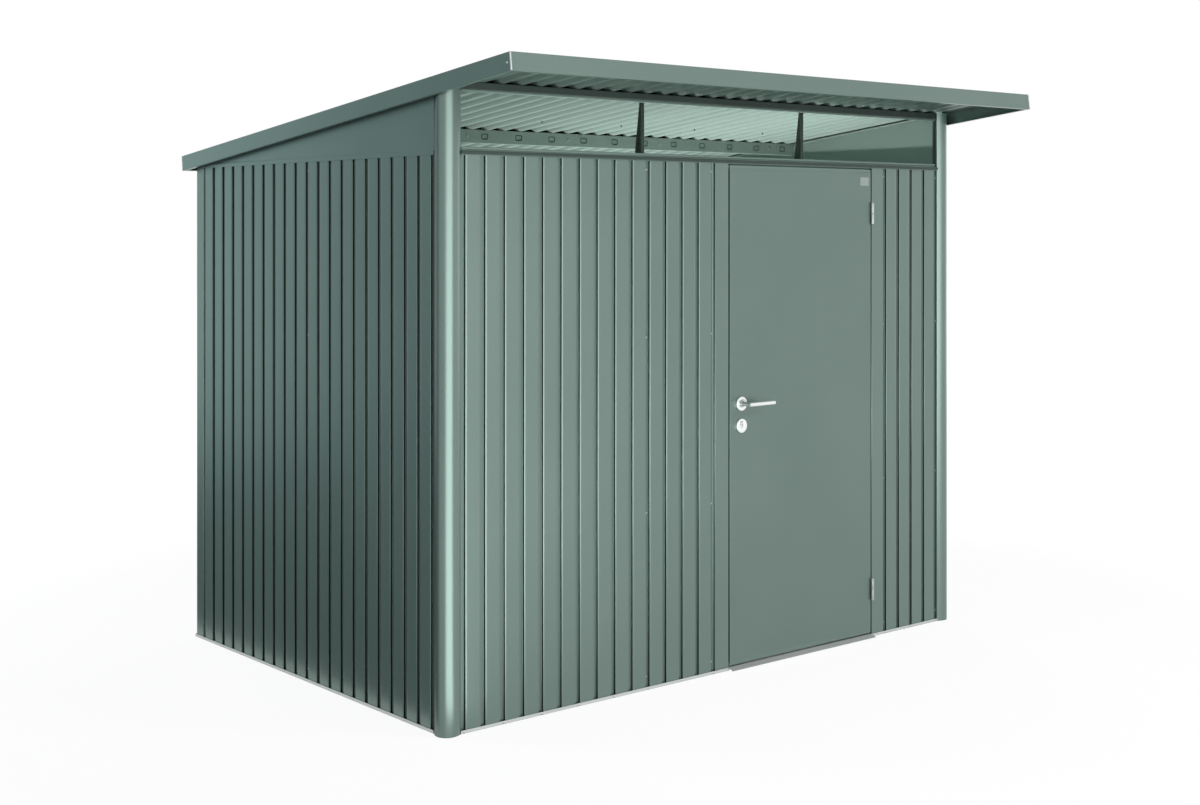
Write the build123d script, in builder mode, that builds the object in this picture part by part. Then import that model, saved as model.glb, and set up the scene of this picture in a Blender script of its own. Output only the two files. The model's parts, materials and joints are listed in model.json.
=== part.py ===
from build123d import *
import math
import os

os.makedirs("parts", exist_ok=True)

# Frame: +X right, +Y to the back, +Z up, origin on the ground under the middle of the roof.

# Ribbed wall panels
rib_pitch = 80.0
rib_mouth = 19.0
rib_slope = 1.2        # run of a rib's side from its mouth to its floor
rib_depth = 8.4
wall_gauge = 0.8
panel_gap = 0.4        # butt joint in the floor of a rib
wall_height = 1890.5   # ground to the top of the rail over the panels

# How many rib pitches the panels, the door jambs, the doorway and a side wall are wide
wide_bays = 10
narrow_bays = 4
jamb_bays = 1
opening_bays = 10
side_bays = 20

# Rails under and over the panels
rail_gauge = 1.5
rail_depth = 60.0
rail_proud = 2.3       # rail lips stand this far in front of the panels
base_lip = 11.0
top_lip = 15.5
seat_gap = 0.2         # between pieces that are screwed together
drain_width = 7.0
drain_height = 4.0
drain_reach = 2.25     # from the lip's face to the back of a notch
drain_spacing_bays = 2

# Rounded front corner posts
post_width = 62.0
post_to_rib = 10.0     # post's edge to the first rib's centre line
post_bulge = 12.0
post_corner_radius = 36.0
post_inner = 14.0
post_gauge = 2.0

# Folded back corners
back_corner_radius = 10.0

# Window band and front beam
window_height = 200.0
pane_setback = 12.0
pane_thickness = 4.0
pane_joint = 1.0
mullion_offset = 411.0
mullion_width = 16.0
mullion_gauge = 3.0
fin_top = 13.0
fin_bottom = 40.0
beam_height = 23.8
beam_depth = 40.0
beam_setback = 2.0

# Roof
back_rise = 27.2       # roof's underside over the wall's top at the back
side_overhang = 31.5
front_overhang = 396.0
back_overhang = 62.8
wave_pitch = 80.0
wave_depth = 12.0
roof_gauge = 0.8
sheet_end_gap = 2.0
sheet_hem = 5.0        # least flat strip beside the last wave
lap_half_waves = 11    # half waves from the roof's middle to the crest where two sheets lap
fascia_height = 59.5
fascia_gauge = 1.0
fascia_top_flange = 35.0
fascia_bottom_flange = 15.0
gable_gauge = 1.0
gable_flange = 30.0
gable_end_gap = 15.0   # flange's end to the back wall

# Purlin under the middle of the roof
purlin_setback = 845.0
purlin_height = 52.0
purlin_flange = 25.0
knockout_width = 30.0
knockout_height = 22.0
knockout_corner = 5.0
knockout_depth = 0.7
knockout_pitch = 166.5
knockout_margin = 60.0 # purlin's end to the middle of the last knockout, at least

# Door
hinge_side_gap = 5.0
latch_side_gap = 6.5
door_top_gap = 5.0
door_bottom_gap = 5.0
leaf_depth = 36.0
leaf_gauge = 1.0
cap_height = 11.0
cap_inset = 1.0
cap_seam = 0.9         # between an end cap and the leaf's tray
stop_gap = 8.0         # back of the leaf to the stop
jamb_stop = 12.0
jamb_gauge = 1.2
threshold_height = 12.0
threshold_nose = 22.0
threshold_gauge = 2.0
threshold_nose_flat = 2.0

# Hinges
barrel_radius = 6.0
barrel_length = 86.0
barrel_clearance = 1.0 # barrel to the wall face
pin_radius = 3.0
pin_clearance = 0.3
knuckle_gap = 0.5
flag_width = 20.0
hinge_inset = 174.0    # middle of a hinge to the end of the leaf

# Lever handle and lock
backset = 55.5
lever_height = 983.5
lock_height = 901.5
rose_radius = 26.0
rose_depth = 8.0
rose_to_lip = 4.5      # inside rose to the leaf's back lip
collar_step = 3.0      # the collar's radius over the grip's
collar_length = 14.0
collar_clearance = 0.4
lever_gap = 1.2        # the collar's root to the face behind it
lever_standoff = 51.0  # the collar's root to the grip's axis
lever_reach = 128.0
grip_radius = 8.0
spindle_size = 8.0
spindle_clearance = 0.3
spindle_play = 2.0     # round the spindle where it passes the leaf
spindle_grip = 10.0    # the spindle's end past the inside rose
case_reach = 21.7      # spindle to the case's inner side
case_margin = 44.0     # spindle or keyhole to the case's nearer end
case_gauge = 2.0
key_round_radius = 8.5
key_slot_width = 10.0
key_slot_drop = 20.0
key_depth = 3.0

# Values worked out from the driving dimensions
rib_floor = rib_mouth - 2 * rib_slope
corner_reach = post_width + post_to_rib
door_module_bays = opening_bays + 2 * jamb_bays
front_bays = wide_bays + narrow_bays + door_module_bays + narrow_bays
body_width = 2 * corner_reach + front_bays * rib_pitch
body_depth = 2 * corner_reach + side_bays * rib_pitch
tilt = math.atan2(window_height + beam_height - back_rise, body_depth)
roof_width = body_width + 2 * side_overhang
plan_depth = front_overhang + body_depth + back_overhang
roof_length = (plan_depth - fascia_height * math.sin(tilt)) / math.cos(tilt)
left_x = -body_width / 2
right_x = body_width / 2
front_y = -plan_depth / 2 + front_overhang
back_y = front_y + body_depth
window_top = wall_height + window_height
sheet_seat = window_top + beam_height
opening_left = left_x + corner_reach + (wide_bays + narrow_bays + jamb_bays) * rib_pitch
opening_right = opening_left + opening_bays * rib_pitch
panel_bottom = rail_gauge
panel_top = wall_height - rail_gauge
panel_height = panel_top - panel_bottom
lip_bottom = wall_height - top_lip

# The roof plane lies on the undersides of the waves and falls to the back
roof_plane = Plane(
    origin=(0, front_y, sheet_seat),
    x_dir=(1, 0, 0),
    z_dir=(0, math.sin(tilt), math.cos(tilt)),
)
support_plane = roof_plane.offset(-seat_gap)


def roof_underside(setback):
    return sheet_seat - seat_gap / math.cos(tilt) - setback * math.tan(tilt)


def finish(piece, name):
    piece.part.label = name
    export_step(piece.part, f"parts/{name}.step")


# A folded sheet's outline: its outer path and the same path moved to its left by the gauge, mitred
def folded(path, gauge):
    points = [Vector(*point) for point in path]
    runs = [(b - a).normalized() for a, b in zip(points, points[1:])]
    lefts = [Vector(-run.Y, run.X) for run in runs]
    inner = []
    for index, point in enumerate(points):
        before = lefts[max(index - 1, 0)]
        after = lefts[min(index, len(lefts) - 1)]
        mitre = (before + after) / (1 + before.dot(after))
        inner.append(point + mitre * gauge)
    return points + inner[::-1]


def folded_sheet(plane, path, gauge, length):
    with BuildSketch(plane) as section:
        with BuildLine():
            Polyline(*folded(path, gauge), close=True)
        make_face()
    extrude(section.sketch, amount=length)


# Ribbed panel's outer path: it starts and ends in the floor of a rib
def ribbed_path(bays, start, end):
    path = [(start, rib_depth)]
    for bay in range(bays):
        left = bay * rib_pitch
        right = left + rib_pitch
        path.append((left + rib_floor / 2, rib_depth))
        path.append((left + rib_mouth / 2, 0))
        path.append((right - rib_mouth / 2, 0))
        path.append((right - rib_floor / 2, rib_depth))
    path.append((end, rib_depth))
    return path


# Wall faces: local X runs along the wall, local Y points into the shed
def wall_plane(side, along, z):
    faces = {
        "front": ((left_x + along, front_y, z), (1, 0, 0)),
        "right": ((right_x, front_y + along, z), (0, 1, 0)),
        "back": ((right_x - along, back_y, z), (-1, 0, 0)),
        "left": ((left_x, back_y - along, z), (0, -1, 0)),
    }
    origin, direction = faces[side]
    return Plane(origin=origin, x_dir=direction, z_dir=(0, 0, 1))


# Section across a wall: local X points into the shed, local Y is up, it extrudes along the wall
def rail_plane(side, along):
    face = wall_plane(side, along, 0)
    return Plane(origin=face.origin, x_dir=face.y_dir, z_dir=face.x_dir)


# 45 degree cuts through the start and the end of a rail's corner
def mitre_start(plane, along):
    corner = plane.origin + plane.z_dir * (along + seat_gap / 2)
    split(bisect_by=Plane(origin=corner, z_dir=plane.z_dir - plane.x_dir), keep=Keep.TOP)


def mitre_end(plane, along):
    corner = plane.origin + plane.z_dir * (along - seat_gap / 2)
    split(bisect_by=Plane(origin=corner, z_dir=plane.z_dir * -1 - plane.x_dir), keep=Keep.TOP)


# Wall panels. The front has a gap for the door, the other walls are shared out evenly.
right_panel_bay = wide_bays + narrow_bays + door_module_bays
panels = [
    ("front_panel_wide", "front", 0, wide_bays),
    ("front_panel_narrow", "front", wide_bays, wide_bays + narrow_bays),
    ("front_panel_right", "front", right_panel_bay, front_bays),
]
shared_walls = [
    ("right", side_bays, ("right_panel_front", "right_panel_back")),
    ("back", front_bays, ("back_panel_right", "back_panel_middle", "back_panel_left")),
    ("left", side_bays, ("left_panel_back", "left_panel_front")),
]
for side, wall_bays, names in shared_walls:
    joints = [round(wall_bays * index / len(names)) for index in range(len(names) + 1)]
    panels += [(name, side, *span) for name, span in zip(names, zip(joints, joints[1:]))]

# Beside a front post a panel runs on to the post, elsewhere it stops in mid rib
post_reach = post_to_rib - seat_gap
first_at_post = ("front_panel_wide", "right_panel_front")
last_at_post = ("front_panel_right", "left_panel_front")
for name, side, first_bay, last_bay in panels:
    bays = last_bay - first_bay
    start = -post_reach if name in first_at_post else panel_gap / 2
    end = bays * rib_pitch + (post_reach if name in last_at_post else -panel_gap / 2)
    place = wall_plane(side, corner_reach + first_bay * rib_pitch, panel_bottom)
    with BuildPart() as panel:
        folded_sheet(place, ribbed_path(bays, start, end), wall_gauge, panel_height)
    finish(panel, name)

# Back corners, folded round the corner from one rib to the next
rib_end = corner_reach - panel_gap / 2
rib_near = corner_reach - rib_mouth / 2
rib_far = corner_reach - rib_floor / 2
for name, side in (("back_corner_left", "left"), ("back_corner_right", "back")):
    with BuildPart() as corner:
        with BuildSketch(wall_plane(side, 0, panel_bottom)) as section:
            with BuildLine():
                path = [(rib_depth, rib_end), (rib_depth, rib_far), (0, rib_near), (0, 0)]
                path += [(rib_near, 0), (rib_far, rib_depth), (rib_end, rib_depth)]
                Polyline(*folded(path, wall_gauge), close=True)
            make_face()
            fillet(section.vertices().sort_by_distance((0, 0, 0))[0], back_corner_radius)
            inner_bend = section.vertices().sort_by_distance((wall_gauge, wall_gauge, 0))[0]
            fillet(inner_bend, back_corner_radius - wall_gauge)
        extrude(amount=panel_height)
    finish(corner, name)

# Rounded front corner posts, hollow, from the ground to the roof
crown = post_corner_radius - post_bulge
bow = post_width - crown
bow_radius = (post_bulge**2 + bow**2) / (2 * post_bulge)
bow_angle = math.degrees(math.atan2(bow, bow_radius - post_bulge))
for name, mirrored in (("front_post_left", False), ("front_post_right", True)):
    with BuildPart() as post:
        with BuildSketch(wall_plane("front", 0, 0)):
            with BuildLine():
                CenterArc((bow_radius - post_bulge, crown), bow_radius, 180 - bow_angle, bow_angle)
                CenterArc((crown, crown), post_corner_radius, 180, 90)
                CenterArc((crown, bow_radius - post_bulge), bow_radius, 270, bow_angle)
                Polyline(
                    (post_width, 0),
                    (post_width, post_inner),
                    (post_inner, post_inner),
                    (post_inner, post_width),
                    (0, post_width),
                )
            make_face()
            offset(amount=-post_gauge, mode=Mode.SUBTRACT)
        extrude(amount=sheet_seat + fascia_height)
        split(bisect_by=support_plane, keep=Keep.BOTTOM)
        if mirrored:
            mirror(about=Plane.YZ, mode=Mode.REPLACE)
    finish(post, name)

# Base rails: an angle whose lip hides the panels' lower edges, drained under every second rib
base_path = [(-rail_proud, base_lip), (-rail_proud, 0), (rail_depth, 0)]
post_end = post_width + seat_gap


def drain(side, first_bay, last_bay):
    for bay in range(first_bay, last_bay + 1, drain_spacing_bays):
        with BuildSketch(wall_plane(side, corner_reach + bay * rib_pitch, 0)) as notch:
            with Locations((0, -rail_proud)):
                Rectangle(drain_width, 2 * drain_reach)
        extrude(notch.sketch, amount=drain_height, mode=Mode.SUBTRACT)


with BuildPart() as base_front:
    left_run = opening_left - left_x - seat_gap - post_end
    right_start = opening_right - left_x + seat_gap
    right_run = body_width - post_end - right_start
    folded_sheet(rail_plane("front", post_end), base_path, rail_gauge, left_run)
    folded_sheet(rail_plane("front", right_start), base_path, rail_gauge, right_run)
    drain("front", 0, wide_bays + narrow_bays)
    drain("front", right_panel_bay, front_bays)
finish(base_front, "base_rail_front")

with BuildPart() as base_right:
    run = rail_plane("right", post_end)
    folded_sheet(run, base_path, rail_gauge, body_depth + rail_proud - post_end)
    mitre_end(run, body_depth - post_end)
    drain("right", 0, side_bays)
finish(base_right, "base_rail_right")

with BuildPart() as base_back:
    run = rail_plane("back", -rail_proud)
    folded_sheet(run, base_path, rail_gauge, body_width + 2 * rail_proud)
    mitre_start(run, rail_proud)
    mitre_end(run, body_width + rail_proud)
    drain("back", 0, front_bays)
finish(base_back, "base_rail_back")

with BuildPart() as base_left:
    run = rail_plane("left", -rail_proud)
    folded_sheet(run, base_path, rail_gauge, body_depth + rail_proud - post_end)
    mitre_start(run, rail_proud)
    drain("left", 0, side_bays)
finish(base_left, "base_rail_left")

# Rails over the panels: a channel upside down on their top edges
top_path = [
    (rail_depth, lip_bottom),
    (rail_depth, wall_height),
    (-rail_proud, wall_height),
    (-rail_proud, lip_bottom),
]
corner_clear = rib_depth + wall_gauge + seat_gap
with BuildPart() as sill:
    folded_sheet(rail_plane("front", post_end), top_path, rail_gauge, body_width - 2 * post_end)
finish(sill, "window_sill_rail")

side_run = body_depth - post_end - corner_clear
with BuildPart() as top_left:
    folded_sheet(rail_plane("left", corner_clear), top_path, rail_gauge, side_run)
finish(top_left, "top_rail_left")

with BuildPart() as top_right:
    folded_sheet(rail_plane("right", post_end), top_path, rail_gauge, side_run)
finish(top_right, "top_rail_right")

# Back beam: the same channel, taller, with its top on the slope of the roof
beam_path = [
    (rail_depth, wall_height),
    (rail_depth, roof_underside(body_depth - rail_depth)),
    (-rail_proud, roof_underside(body_depth + rail_proud)),
    (-rail_proud, lip_bottom),
]
beam_start = rail_depth + seat_gap
with BuildPart() as back_beam:
    folded_sheet(rail_plane("back", beam_start), beam_path, rail_gauge, body_width - 2 * beam_start)
finish(back_beam, "roof_beam_back")

# Front beam over the window: a closed box section with its top on the slope of the roof
with BuildPart() as front_beam:
    with BuildSketch(rail_plane("front", post_end)):
        with BuildLine():
            Polyline(
                (beam_setback, window_top),
                (beam_setback + beam_depth, window_top),
                (beam_setback + beam_depth, roof_underside(beam_setback + beam_depth)),
                (beam_setback, roof_underside(beam_setback)),
                close=True,
            )
        make_face()
        offset(amount=-rail_gauge, mode=Mode.SUBTRACT)
    extrude(amount=body_width - 2 * post_end)
finish(front_beam, "roof_beam_front")

# Gables: flat sheets over the side rails with a flange under the roof
gable_end = body_depth / math.cos(tilt) - gable_end_gap
for name, mirrored in (("gable_left", False), ("gable_right", True)):
    with BuildPart() as gable:
        with BuildSketch(Plane(origin=(left_x, front_y, 0), x_dir=(0, 1, 0), z_dir=(1, 0, 0))):
            with BuildLine():
                Polyline(
                    (post_end, wall_height),
                    (body_depth, wall_height),
                    (body_depth, roof_underside(body_depth)),
                    (post_end, roof_underside(post_end)),
                    close=True,
                )
            make_face()
        extrude(amount=gable_gauge)
        with BuildSketch(support_plane):
            flange_start = (post_end + seat_gap) / math.cos(tilt)
            flange_run = gable_end - flange_start
            with Locations((left_x + gable_flange / 2, flange_start + flange_run / 2)):
                Rectangle(gable_flange, flange_run)
        extrude(amount=-gable_gauge)
        if mirrored:
            mirror(about=Plane.YZ, mode=Mode.REPLACE)
    finish(gable, name)

# Purlin: a channel open to the back, with a row of pressed knockouts in its web
purlin_back = purlin_setback + purlin_flange
purlin_bottom = roof_underside(purlin_setback) - purlin_height
purlin_path = [
    (purlin_back, roof_underside(purlin_back)),
    (purlin_setback, roof_underside(purlin_setback)),
    (purlin_setback, purlin_bottom),
    (purlin_back, purlin_bottom),
]
purlin_start = gable_flange + seat_gap
with BuildPart() as purlin:
    run = body_width - 2 * purlin_start
    folded_sheet(rail_plane("front", purlin_start), purlin_path, rail_gauge, run)
    web = Plane(
        origin=(0, front_y + purlin_setback, purlin_bottom + purlin_height / 2),
        x_dir=(1, 0, 0),
        z_dir=(0, -1, 0),
    )
    knockout_count = math.floor((run - 2 * knockout_margin) / knockout_pitch) + 1
    with BuildSketch(web) as knockouts:
        with GridLocations(knockout_pitch, knockout_pitch, knockout_count, 1):
            Rectangle(knockout_width, knockout_height)
        chamfer(knockouts.vertices(), knockout_corner)
    extrude(amount=-knockout_depth, mode=Mode.SUBTRACT)
finish(purlin, "roof_purlin")

# Window band: three clear panes in front of two mullions with tapered fins
pane_bottom = wall_height + seat_gap
pane_height = window_height - 2 * seat_gap
band_half = body_width / 2 - post_end
pane_edges = [-band_half, -mullion_offset, mullion_offset, band_half]
with BuildPart() as panes:
    with BuildSketch(Plane.XY.offset(pane_bottom)):
        for pane_left, pane_right in zip(pane_edges, pane_edges[1:]):
            pane_middle = (pane_left + pane_right) / 2
            with Locations((pane_middle, front_y + pane_setback + pane_thickness / 2)):
                Rectangle(pane_right - pane_left - pane_joint, pane_thickness)
    extrude(amount=pane_height)
finish(panes, "window_panes")

mullion_y = front_y + pane_setback + pane_thickness + seat_gap
with BuildPart() as mullions:
    for mullion_x in (-mullion_offset, mullion_offset):
        with BuildSketch(Plane.XY.offset(pane_bottom)) as flange:
            with Locations((mullion_x, mullion_y + mullion_gauge / 2)):
                Rectangle(mullion_width, mullion_gauge)
        extrude(flange.sketch, amount=pane_height)
        fin_face = Plane(
            origin=(mullion_x - mullion_gauge / 2, mullion_y, pane_bottom),
            x_dir=(0, 1, 0),
            z_dir=(1, 0, 0),
        )
        with BuildSketch(fin_face) as fin:
            with BuildLine():
                Polyline(
                    (0, 0),
                    (mullion_gauge + fin_bottom, 0),
                    (mullion_gauge + fin_top, pane_height),
                    (0, pane_height),
                    close=True,
                )
            make_face()
        extrude(fin.sketch, amount=mullion_gauge)
finish(mullions, "window_mullions")

# Roof edges: fascia channels square to the roof, mitred at the corners
lap_lift = roof_gauge + seat_gap
fascia_top = wave_depth + roof_gauge + lap_lift + seat_gap + fascia_gauge
fascia_bottom = fascia_top - fascia_height
eave_front = (-front_overhang - fascia_bottom * math.sin(tilt)) / math.cos(tilt)
eave_back = eave_front + roof_length
fascia_path = [
    (fascia_top_flange, fascia_top),
    (0, fascia_top),
    (0, fascia_bottom),
    (fascia_bottom_flange, fascia_bottom),
]
across = roof_plane.x_dir
down_slope = roof_plane.y_dir
fascias = [
    ("fascia_front", (-roof_width / 2, eave_front, 0), down_slope, across, roof_width),
    ("fascia_right", (roof_width / 2, eave_front, 0), across * -1, down_slope, roof_length),
    ("fascia_back", (roof_width / 2, eave_back, 0), down_slope * -1, across * -1, roof_width),
    ("fascia_left", (-roof_width / 2, eave_back, 0), across, down_slope * -1, roof_length),
]
for name, corner_point, inward, along, length in fascias:
    place = Plane(origin=roof_plane.from_local_coords(corner_point), x_dir=inward, z_dir=along)
    with BuildPart() as fascia:
        folded_sheet(place, fascia_path, fascia_gauge, length)
        mitre_start(place, 0)
        mitre_end(place, length)
    finish(fascia, name)

# Roof sheets: waves that run down the slope, the middle sheet lapped over its neighbours
quarter_wave = wave_pitch / 4
half_wave = wave_pitch / 2
sheet_edge = roof_width / 2 - fascia_gauge - sheet_end_gap
last_half_wave = math.floor((sheet_edge - quarter_wave - sheet_hem) / half_wave)
sheet_start = eave_back - fascia_gauge - sheet_end_gap
sheet_length = roof_length - 2 * (fascia_gauge + sheet_end_gap)
sheet_plane = Plane(
    origin=roof_plane.from_local_coords((0, sheet_start, 0)),
    x_dir=across,
    z_dir=down_slope * -1,
)


def wave_line(first, last, lift, edge):
    middle = lift + wave_depth / 2
    for index in range(first, last + 1):
        x = index * half_wave
        tip = lift + wave_depth * (index % 2)
        ThreePointArc((x - quarter_wave, middle), (x, tip), (x + quarter_wave, middle))
    if edge:
        Line((last * half_wave + quarter_wave, middle), (edge, middle))


sheets = [
    ("roof_sheet_middle", -lap_half_waves, lap_half_waves, lap_lift, None, False),
    ("roof_sheet_right", lap_half_waves, last_half_wave, 0, sheet_edge, False),
    ("roof_sheet_left", lap_half_waves, last_half_wave, 0, sheet_edge, True),
]
for name, first, last, lift, edge, mirrored in sheets:
    left_end = first * half_wave - quarter_wave
    right_end = edge or last * half_wave + quarter_wave
    middle = lift + wave_depth / 2
    with BuildPart() as sheet:
        with BuildSketch(sheet_plane):
            with BuildLine():
                wave_line(first, last, lift, edge)
                wave_line(first, last, lift + roof_gauge, edge)
                Line((left_end, middle), (left_end, middle + roof_gauge))
                Line((right_end, middle), (right_end, middle + roof_gauge))
            make_face()
        extrude(amount=sheet_length)
        if mirrored:
            mirror(about=Plane.YZ, mode=Mode.REPLACE)
    finish(sheet, name)

# Door frame: jambs with a stop behind the leaf, and a ramped threshold between them
jamb_width = jamb_bays * rib_pitch
jamb_depth = leaf_depth + stop_gap
left_jamb_path = [
    (panel_gap / 2, rib_depth),
    (rib_floor / 2, rib_depth),
    (rib_mouth / 2, 0),
    (jamb_width, 0),
    (jamb_width, jamb_depth),
    (jamb_width + jamb_stop, jamb_depth),
]
right_jamb_path = [(-x, y) for x, y in reversed(left_jamb_path)]
with BuildPart() as jambs:
    left_place = wall_plane("front", opening_left - left_x - jamb_width, panel_bottom)
    right_place = wall_plane("front", opening_right - left_x + jamb_width, panel_bottom)
    folded_sheet(left_place, left_jamb_path, jamb_gauge, panel_height)
    folded_sheet(right_place, right_jamb_path, jamb_gauge, panel_height)
finish(jambs, "door_jambs")

threshold_path = [
    (jamb_depth - seat_gap, 0),
    (jamb_depth - seat_gap, threshold_height),
    (-threshold_nose_flat, threshold_height),
    (-threshold_nose, threshold_gauge),
]
with BuildPart() as threshold:
    run = rail_plane("front", opening_left - left_x + seat_gap)
    width = opening_right - opening_left - 2 * seat_gap
    folded_sheet(run, threshold_path, threshold_gauge, width)
finish(threshold, "door_threshold")

# Door leaf: a folded tray, open at the top and bottom, where two end caps close it
leaf_left = opening_left + latch_side_gap
leaf_right = opening_right - hinge_side_gap
leaf_width = leaf_right - leaf_left
leaf_lip = backset - rose_radius - rose_to_lip
leaf_bottom = threshold_height + door_bottom_gap
leaf_top = lip_bottom - door_top_gap
tray_bottom = leaf_bottom + cap_height + cap_seam
tray_top = leaf_top - cap_height - cap_seam
leaf_path = [
    (leaf_lip, leaf_depth),
    (0, leaf_depth),
    (0, 0),
    (leaf_width, 0),
    (leaf_width, leaf_depth),
    (leaf_width - leaf_lip, leaf_depth),
]
lever_x = leaf_left + backset
spindle_hole = spindle_size * math.sqrt(0.5) + spindle_play
door_face = Plane(origin=(lever_x, front_y, lever_height), x_dir=(1, 0, 0), z_dir=(0, -1, 0))
with BuildPart() as leaf:
    place = wall_plane("front", leaf_left - left_x, tray_bottom)
    folded_sheet(place, leaf_path, leaf_gauge, tray_top - tray_bottom)
    with BuildSketch(door_face):
        Circle(spindle_hole)
    extrude(amount=-2 * leaf_gauge, mode=Mode.SUBTRACT)
finish(leaf, "door_leaf")

cap_path = [
    (cap_inset, cap_height),
    (cap_inset, 0),
    (leaf_depth - cap_inset, 0),
    (leaf_depth - cap_inset, cap_height),
]
with BuildPart() as caps:
    run = rail_plane("front", leaf_left - left_x + cap_inset)
    length = leaf_width - 2 * cap_inset
    low = [(x, leaf_bottom + z) for x, z in cap_path]
    high = [(x, leaf_top - z) for x, z in reversed(cap_path)]
    folded_sheet(run, low, rail_gauge, length)
    folded_sheet(run, high, rail_gauge, length)
finish(caps, "door_end_caps")

# Hinges: the lower half with its pin on the frame, the upper half on the door, flags in the door gap
hinge_x = opening_right - hinge_side_gap / 2
hinge_y = front_y - barrel_radius - barrel_clearance
hinge_heights = (leaf_bottom + hinge_inset, leaf_top - hinge_inset)
half_barrel = (barrel_length - knuckle_gap) / 2
flag_thickness = hinge_side_gap / 2 - 2 * seat_gap
with BuildPart() as frame_halves:
    for height in hinge_heights:
        foot = Plane(origin=(hinge_x, hinge_y, height - barrel_length / 2), z_dir=(0, 0, 1))
        with BuildSketch(foot) as knuckle:
            Circle(barrel_radius)
            with Locations((seat_gap + flag_thickness / 2, flag_width / 2)):
                Rectangle(flag_thickness, flag_width)
        extrude(knuckle.sketch, amount=half_barrel)
        with BuildSketch(foot) as pin:
            Circle(pin_radius)
        extrude(pin.sketch, amount=barrel_length - knuckle_gap)
finish(frame_halves, "hinge_frame_halves")

with BuildPart() as door_halves:
    for height in hinge_heights:
        top = Plane(origin=(hinge_x, hinge_y, height + knuckle_gap / 2), z_dir=(0, 0, 1))
        with BuildSketch(top) as knuckle:
            Circle(barrel_radius)
            with Locations((-seat_gap - flag_thickness / 2, flag_width / 2)):
                Rectangle(flag_thickness, flag_width)
            Circle(pin_radius + pin_clearance, mode=Mode.SUBTRACT)
        extrude(knuckle.sketch, amount=half_barrel)
finish(door_halves, "hinge_door_halves")

# Roses on the door: one round the lever's collar, one round the lock's keyhole
collar_radius = grip_radius + collar_step
collar_hole = collar_radius + collar_clearance
lock_face = Plane(origin=(lever_x, front_y, lock_height), x_dir=(1, 0, 0), z_dir=(0, -1, 0))
with BuildPart() as roses:
    with BuildSketch(door_face) as ring:
        Circle(rose_radius)
        Circle(collar_hole, mode=Mode.SUBTRACT)
    extrude(ring.sketch, amount=rose_depth)
    with BuildSketch(lock_face) as disc:
        Circle(rose_radius)
    extrude(disc.sketch, amount=rose_depth)
    with BuildSketch(lock_face.offset(rose_depth)) as keyhole:
        with Locations((0, key_round_radius)):
            Circle(key_round_radius)
        with Locations((0, -key_slot_drop / 2 + key_round_radius)):
            Rectangle(key_slot_width, key_slot_drop)
    extrude(keyhole.sketch, amount=-key_depth, mode=Mode.SUBTRACT)
finish(roses, "door_roses")

# Lock case in the tray behind the lever, with a rose for the inside lever
case_front = leaf_gauge + seat_gap
case_back = leaf_depth - leaf_gauge - seat_gap
case_left = leaf_left + leaf_gauge + seat_gap
case_right = lever_x + case_reach
case_bottom = min(lever_height, lock_height) - case_margin
case_top = max(lever_height, lock_height) + case_margin
with BuildPart() as case:
    with BuildSketch(Plane.XY.offset(case_bottom)):
        with Locations(((case_left + case_right) / 2, front_y + (case_front + case_back) / 2)):
            Rectangle(case_right - case_left, case_back - case_front)
    extrude(amount=case_top - case_bottom)
    offset(amount=-case_gauge, openings=case.faces().sort_by(Axis.Y)[0])
    with BuildSketch(door_face.offset(-case_back)):
        Circle(rose_radius)
    extrude(amount=-rose_depth)
    with BuildSketch(door_face.offset(-case_back - rose_depth)):
        Circle(collar_hole)
    extrude(amount=rose_depth + 2 * case_gauge, mode=Mode.SUBTRACT)
finish(case, "lock_case")


# Lever: a round bar mitred where the neck turns into the grip, with a collar at its root
def lever_bar(root_y, outward):
    root = Plane(origin=(lever_x, root_y, lever_height), x_dir=(1, 0, 0), z_dir=(0, outward, 0))
    with BuildSketch(root) as collar:
        Circle(collar_radius)
    extrude(collar.sketch, amount=collar_length)
    with BuildLine(root) as route:
        Polyline((0, 0, 0), (0, 0, lever_standoff), (lever_reach, 0, lever_standoff))
    with BuildSketch(root) as round_bar:
        Circle(grip_radius)
    sweep(round_bar.sketch, path=route.line, transition=Transition.RIGHT)


socket = spindle_size + 2 * spindle_clearance
inner_root = case_back + lever_gap
spindle_reach = lever_gap + rose_depth + spindle_grip
with BuildPart() as lever:
    lever_bar(front_y - lever_gap, -1)
    with BuildSketch(door_face.offset(lever_gap)) as spindle:
        Rectangle(spindle_size, spindle_size)
    extrude(spindle.sketch, amount=-lever_gap - inner_root - spindle_reach)
finish(lever, "lever_outside")

with BuildPart() as inner_lever:
    lever_bar(front_y + inner_root, 1)
    with BuildSketch(door_face.offset(-inner_root)) as hole:
        Rectangle(socket, socket)
    extrude(hole.sketch, amount=-spindle_reach - spindle_clearance, mode=Mode.SUBTRACT)
finish(inner_lever, "lever_inside")
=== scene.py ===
import bmesh
import bpy
import json
import math
from mathutils import Matrix, Vector
from mathutils.bvhtree import BVHTree


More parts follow.
